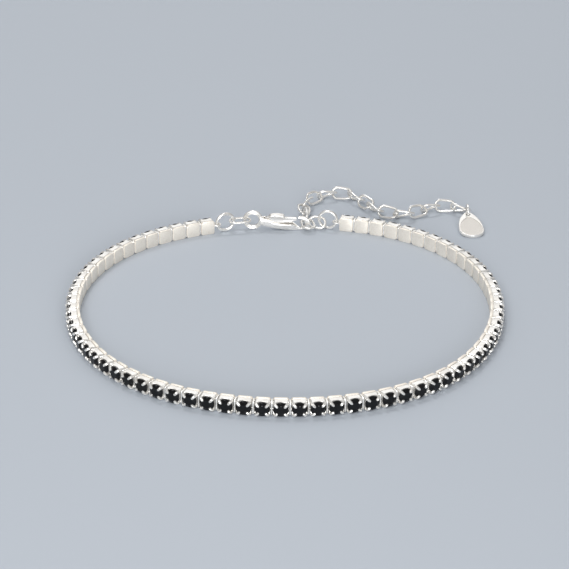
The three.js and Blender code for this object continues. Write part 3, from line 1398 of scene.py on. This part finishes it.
@dataclass
class TeardropTag:
    """The stamped teardrop tag, a polished rim round a brushed face whose greyer silver is painted shade,
    along X from its hole.
    """

    palette: Palette
    length: float = 6.9
    width: float = 3.7
    thickness: float = 0.45
    soft_edge: float = 0.08
    hole: float = 0.36
    edge: float = 0.4
    rim: float = 0.2
    recess: float = 0.07
    face_gap: float = 0.3
    tip_round: float = 0.1
    least_shoulder: float = 0.12
    neck_reach: float = 0.28
    neck_spread: float = 0.75
    belly_reach: float = 0.42
    cutter: float = 1.0

    def teardrop(self, inset: float, top: float) -> Outline:
        """Draws the teardrop.

        Args:
            inset: How much smaller it is all round.
            top: X of its pointed end.

        Returns:
            The outline.
        """
        half = self.width / 2
        centre = self.length - self.hole - self.edge - half
        side = half - inset
        shoulder = max(self.least_shoulder, self.edge - inset)
        reach = centre - top
        tip, spread = top + self.tip_round, self.neck_spread * side
        neck, belly = top + self.neck_reach * reach, centre - self.belly_reach * reach
        shape = Outline.start(tip, shoulder, steps=16)
        shape.sweep((neck, spread), (belly, side), (centre, side)).half_round(centre, side)
        shape.sweep((belly, -side), (neck, -spread), (tip, -shoulder))
        return shape.bend(top - self.tip_round, 0, tip, shoulder)

    def build(self, pose: Matrix) -> Piece:
        """Stamps the tag and lays it where its node lies.

        Args:
            pose: The tag's pose, +X leading away from its ring.

        Returns:
            The tag.
        """
        top = -(self.hole + self.edge)
        plate = self.teardrop(0.0, top)
        piece = plate.solid("teardrop_tag_plate", self.thickness, self.soft_edge, self.palette.silver)
        cut_away(piece, rod("hole", self.hole, DRILL, (0, 0, 0), Axis.Z))
        sunk = self.teardrop(self.rim, self.hole + self.face_gap)
        face = sunk.solid("face", self.cutter, 0.0, self.palette.brushed)
        floor_height = self.thickness / 2 - self.recess
        face.data.transform(Matrix.Translation((0, 0, floor_height + self.cutter / 2)))
        # The sunk face's floor takes the brushed silver, whose greyer tone is painted shade.
        piece.data.materials.append(self.palette.brushed)
        cut_away(piece, face)
        for polygon in piece.data.polygons:
            on_floor = abs(polygon.center.z - floor_height) < NEAR and polygon.normal.z > 0.9
            polygon.material_index = 1 if on_floor else 0
        smooth(piece)
        middle = top + self.length / 2
        piece.data.transform(pose @ Matrix.Translation((-middle, 0, 0)))
        return delivered(piece, ["teardrop_tag"])


def tag_pose(node: Piece, hole_side: Vector) -> Matrix:
    """Gives the tag's pose with +X leading away from its ring.

    Args:
        node: The tag's CAD node.
        hole_side: A point near the tag's hole, in millimetres.

    Returns:
        The pose.
    """
    pose = pose_of(node)
    towards_ring = hole_side - pose.translation
    if pose.col[0].to_3d().dot(towards_ring) > 0:
        pose = pose @ Matrix.Rotation(math.pi, 4, "Z")
    return pose


# ---- Studio ----


@dataclass(frozen=True)
class Softbox:
    """A square softbox that faces the bracelet, with its place and side in metres and its power in watts."""

    name: str
    at: tuple[float, float, float]
    size: float
    power: float

    def hang(self) -> None:
        """Hangs the softbox."""
        data = bpy.data.lights.new(self.name, "AREA")
        data.size = self.size
        data.energy = self.power
        light = bpy.data.objects.new(self.name, data)
        light.location = self.at
        light.rotation_euler = (-Vector(self.at)).to_track_quat("-Z", "Y").to_euler()
        bpy.context.scene.collection.objects.link(light)


@dataclass
class Studio:
    """The camera at the photograph's angle, a plain pale floor and soft lights."""

    camera_at: Vector = field(default_factory=lambda: Vector((-0.178, -300.507, 153.01)))
    pitch_down: float = 26.695
    roll: float = 1.05
    lens: float = 151.85
    sensor: float = 36.0
    clip_metres: tuple[float, float] = (0.01, 20.0)
    floor_side_metres: float = 6.0
    floor_gap_metres: float = 0.00001
    horizon: tuple[float, str] = (0.05, "A3A8B0")
    overhead: tuple[float, str] = (0.5, "FFFFFF")
    room_strength: float = 0.39
    softboxes: tuple[Softbox, ...] = (
        Softbox("key_softbox", (-0.22, -0.3, 0.42), 0.3, 0.85),
        Softbox("back_softbox", (0.05, 0.54, 0.34), 0.5, 0.6),
        Softbox("high_softbox", (-0.08, 0.3, 0.55), 0.12, 0.75),
        Softbox("front_softbox", (0.06, -0.5, 0.07), 0.3, 2.4),
    )

    def camera(self) -> None:
        """Sets up the camera that the photograph was taken with."""
        data = bpy.data.cameras.new("camera")
        data.lens = self.lens
        data.sensor_width = self.sensor
        data.clip_start, data.clip_end = self.clip_metres
        camera = bpy.data.objects.new("camera", data)
        tilt = Matrix.Rotation(math.radians(90 - self.pitch_down), 4, "X")
        turn = Matrix.Rotation(math.radians(self.roll), 4, "Z")
        camera.matrix_world = Matrix.Translation(self.camera_at * MILLIMETRE) @ tilt @ turn
        bpy.context.scene.collection.objects.link(camera)
        bpy.context.scene.camera = camera

    def floor(self) -> None:
        """Lays the floor just under the bracelet."""
        bpy.ops.mesh.primitive_plane_add(size=self.floor_side_metres, location=(0, 0, -self.floor_gap_metres))
        fresh("studio_floor", PaleFloor().build())

    def world(self) -> None:
        """Surrounds the set with a pale room: bright overhead, greyer towards the horizon."""
        world = bpy.data.worlds.new("pale_room")
        bpy.context.scene.world = world
        world.use_nodes = True
        tree = world.node_tree
        tree.nodes.clear()
        direction = add_node(tree, "ShaderNodeTexCoord").outputs["Generated"]
        height = add_node(tree, "ShaderNodeSeparateXYZ", links={"Vector": direction}).outputs["Z"]
        tones = {"stops": (self.horizon, self.overhead)}
        walls = add_node(tree, "ShaderNodeValToRGB", tones, {"Fac": height}).outputs["Color"]
        glow = {"Strength": self.room_strength}
        background = add_node(tree, "ShaderNodeBackground", glow, {"Color": walls})
        add_node(tree, "ShaderNodeOutputWorld", links={"Surface": background.outputs["Background"]})

    def build(self) -> None:
        """Sets up everything but the object."""
        self.camera()
        self.floor()
        self.world()
        for softbox in self.softboxes:
            softbox.hang()
        bpy.context.scene.view_settings.view_transform = "Standard"


# ---- Assembly ----


def loop_shift() -> Vector:
    """Finds where the loop's own centre lies in the row frame, from the clasp's box."""
    low, high = (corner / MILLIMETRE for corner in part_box("clasp_body"))
    return Vector((low.x + CLASP_EYE - CLASP_AT.x, (low.y + high.y) / 2 - CLASP_AT.y, 0.0))


def main() -> None:
    """Dresses the frame and sets the studio."""
    logging.basicConfig(level=logging.INFO, format="%(name)s: %(message)s")
    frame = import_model()
    Studio().build()
    palette = Palette.mixed()
    shift = loop_shift()
    LOG.info("loop shift %.5f %.5f", shift.x, shift.y)
    nodes = frame["nodes"]
    StoneRow(LoopPlan(shift), palette).build()
    LinkWork(nodes, palette).build()
    LobsterClasp(palette, CLASP_AT + shift).build()
    ring_at = pose_of(nodes["tag_ring"]).translation
    TeardropTag(palette).build(tag_pose(nodes["teardrop_tag"], ring_at))


if __name__ == "__main__":
    main()
